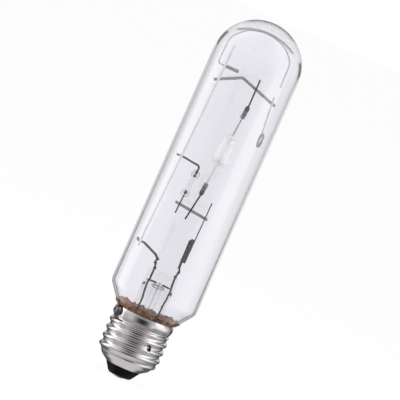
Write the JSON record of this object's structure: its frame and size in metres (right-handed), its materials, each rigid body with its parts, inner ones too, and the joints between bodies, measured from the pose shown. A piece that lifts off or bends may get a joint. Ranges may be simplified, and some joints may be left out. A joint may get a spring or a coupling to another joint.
{
  "type": "metal halide lamp",
  "caption": "Clear tubular discharge lamp on a screw cap, with a ceramic arc tube and a small ignition capsule held in a wire mount inside the bulb.",
  "frame": {"origin": "bottom of the solder on the centre contact, on the lamp's axis", "axes": "+Z along the lamp's axis from the cap to the dome, +X across the wire mount with the long frame rod on the -X side, -Y the side from which the arc tube is seen in front of the crossbars"},
  "size_m": [0.0376, 0.0376, 0.1584],
  "materials": {
    "bulb_glass": "clear blown hard glass, polished",
    "stem_glass": "clear pressed glass",
    "capsule_glass": "clear fused glass",
    "nickel_shell": "bright nickel plate on rolled brass",
    "black_glass": "black moulded glass, glossy",
    "tinned_contact": "tinned brass, dull",
    "solder": "soft solder, dull grey with bright spots",
    "cement": "baked brown basing cement, matt",
    "copper_tail": "thin copper-cored wire",
    "dark_wire": "dark drawn wire",
    "dark_strip": "dark rolled strip",
    "nickel_rod": "bright drawn nickel rod",
    "getter": "dark grey sintered getter",
    "arc_ceramic": "translucent white alumina",
    "frit": "dark glass frit",
    "tungsten": "drawn tungsten"
  },
  "bodies": {
    "root": {"outer_bulb": "bulb_glass", "stem_glass": "stem_glass", "enhancer_capsule": "capsule_glass", "cap_shell": "nickel_shell", "cap_insulator": "black_glass", "centre_contact": "tinned_contact", "centre_solder": "solder", "side_solder": "solder", "basing_cement": "cement", "side_contact_wire": "copper_tail", "centre_contact_wire": "copper_tail", "left_lead": "dark_wire", "right_lead": "dark_wire", "lower_arm": "dark_wire", "dome_bow": "dark_wire", "right_post": "dark_wire", "right_rod": "dark_wire", "getter_wire": "dark_wire", "upper_niobium_lead": "dark_wire", "lower_niobium_lead": "dark_wire", "enhancer_feed_wire": "dark_wire", "enhancer_lower_wire": "dark_wire", "bow_strap": "dark_strip", "upper_crossbar": "dark_strip", "lower_crossbar": "dark_strip", "frame_rod": "nickel_rod", "getter_strip": "getter", "getter_ring": "getter", "arc_tube": "arc_ceramic", "upper_frit_seal": "frit", "lower_frit_seal": "frit", "upper_electrode": "tungsten", "lower_electrode": "tungsten"}
  },
  "joints": []
}
